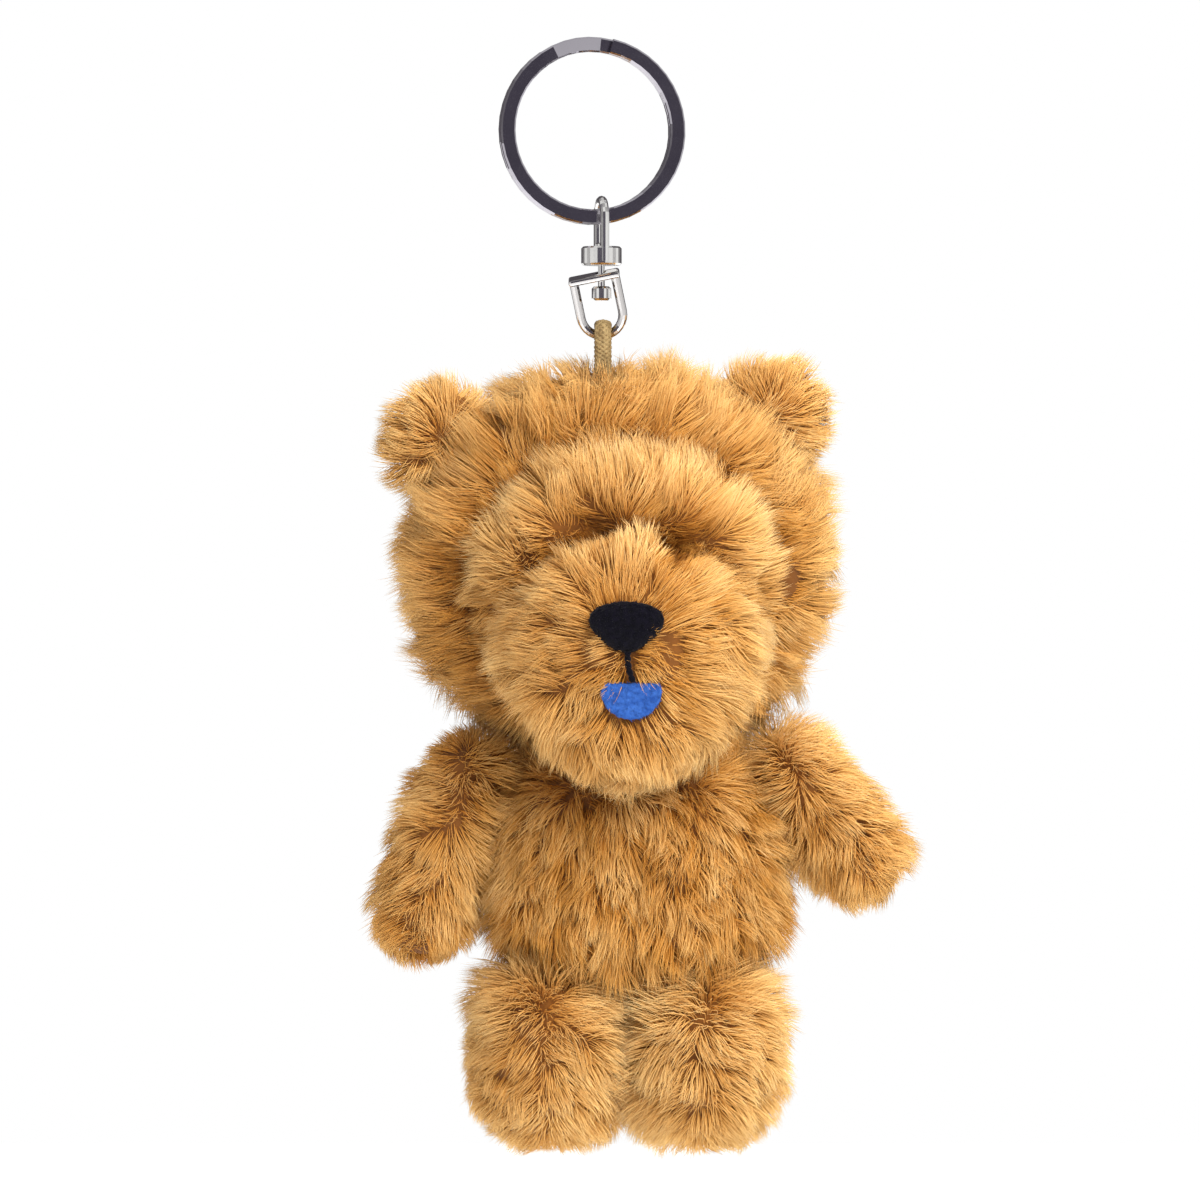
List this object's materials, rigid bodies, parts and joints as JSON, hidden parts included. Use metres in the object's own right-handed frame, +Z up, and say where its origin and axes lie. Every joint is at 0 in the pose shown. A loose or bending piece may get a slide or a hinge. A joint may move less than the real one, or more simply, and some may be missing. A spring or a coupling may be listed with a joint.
{
  "type": "plush keychain",
  "caption": "Stuffed plush bear on a split ring, with a swivel, shackle and cord loop, jointed where the real one moves.",
  "frame": {"origin": "inside top of the split ring, where a hook or a key carries it", "axes": "+Z up the hanging toy, -Y out of its face, +X to the viewer's right when the face is seen"},
  "size_m": [0.0684, 0.049, 0.147],
  "materials": {
    "polished_steel": "polished smoked steel",
    "bright_nickel": "bright nickel plate",
    "braided_cord": "matte braid",
    "golden_pile": "long soft pile",
    "polyester_fibre": "loose fibre",
    "black_felt": "flocked felt",
    "blue_felt": "felt"
  },
  "bodies": {
    "ring": {"split_ring": "polished_steel"},
    "swivel": {"swivel_bow": "bright_nickel", "swivel_pin": "bright_nickel"},
    "shackle": {"shackle": "bright_nickel"},
    "cord": {"cord_loop": "braided_cord"},
    "head": {"cord_knot": "braided_cord", "head_front": "golden_pile", "head_back_left": "golden_pile", "head_back_right": "golden_pile", "face_panel": "golden_pile", "muzzle_panel": "golden_pile", "head_fill": "polyester_fibre", "left_ear_front": "golden_pile", "left_ear_back": "golden_pile", "right_ear_front": "golden_pile", "right_ear_back": "golden_pile", "nose": "black_felt", "mouth_stitch": "black_felt", "tongue": "blue_felt"},
    "torso": {"torso_front": "golden_pile", "torso_back_left": "golden_pile", "torso_back_right": "golden_pile", "torso_fill": "polyester_fibre"},
    "left_arm": {"left_arm_outer": "golden_pile", "left_arm_inner": "golden_pile", "left_arm_fill": "polyester_fibre"},
    "right_arm": {"right_arm_outer": "golden_pile", "right_arm_inner": "golden_pile", "right_arm_fill": "polyester_fibre"},
    "left_leg": {"left_leg_outer": "golden_pile", "left_leg_inner": "golden_pile", "left_leg_fill": "polyester_fibre"},
    "right_leg": {"right_leg_outer": "golden_pile", "right_leg_inner": "golden_pile", "right_leg_fill": "polyester_fibre"}
  },
  "joints": [
    {"name": "ring_swing", "type": "hinge", "parent": "ring", "child": "swivel", "pos_m": [0.00126, 0, -0.022], "axis": [0.9816, 0.1908, 0], "range_deg": [-100, 100]},
    {"name": "swivel_spin", "type": "hinge", "parent": "swivel", "child": "shackle", "pos_m": [0.00126, 0, -0.03], "axis": [0, 0, 1], "continuous": true},
    {"name": "cord_swing", "type": "hinge", "parent": "shackle", "child": "cord", "pos_m": [0.00146, 0.00166, -0.03782], "axis": [1, 0, 0], "range_deg": [-35, 35]},
    {"name": "crown_sway", "type": "hinge", "parent": "cord", "child": "head", "pos_m": [0.00146, 0.00166, -0.043], "axis": [0, 1, 0], "range_deg": [-10, 10]},
    {"name": "neck_nod", "type": "hinge", "parent": "head", "child": "torso", "pos_m": [0.0045, 0.0035, -0.0933], "axis": [1, 0, 0], "range_deg": [-8, 8], "stiffness_Nm_per_rad": 0.03},
    {"name": "left_arm_swing", "type": "hinge", "parent": "torso", "child": "left_arm", "pos_m": [-0.0135, 0.003, -0.0975], "axis": [1, 0, 0], "range_deg": [-30, 30], "stiffness_Nm_per_rad": 0.02},
    {"name": "right_arm_swing", "type": "hinge", "parent": "torso", "child": "right_arm", "pos_m": [0.0245, 0.003, -0.0965], "axis": [1, 0, 0], "range_deg": [-30, 30], "stiffness_Nm_per_rad": 0.02},
    {"name": "left_leg_swing", "type": "hinge", "parent": "torso", "child": "left_leg", "pos_m": [-0.005, 0.0025, -0.1225], "axis": [1, 0, 0], "range_deg": [-15, 15], "stiffness_Nm_per_rad": 0.02},
    {"name": "right_leg_swing", "type": "hinge", "parent": "torso", "child": "right_leg", "pos_m": [0.014, 0.0025, -0.1233], "axis": [1, 0, 0], "range_deg": [-15, 15], "stiffness_Nm_per_rad": 0.02}
  ]
}
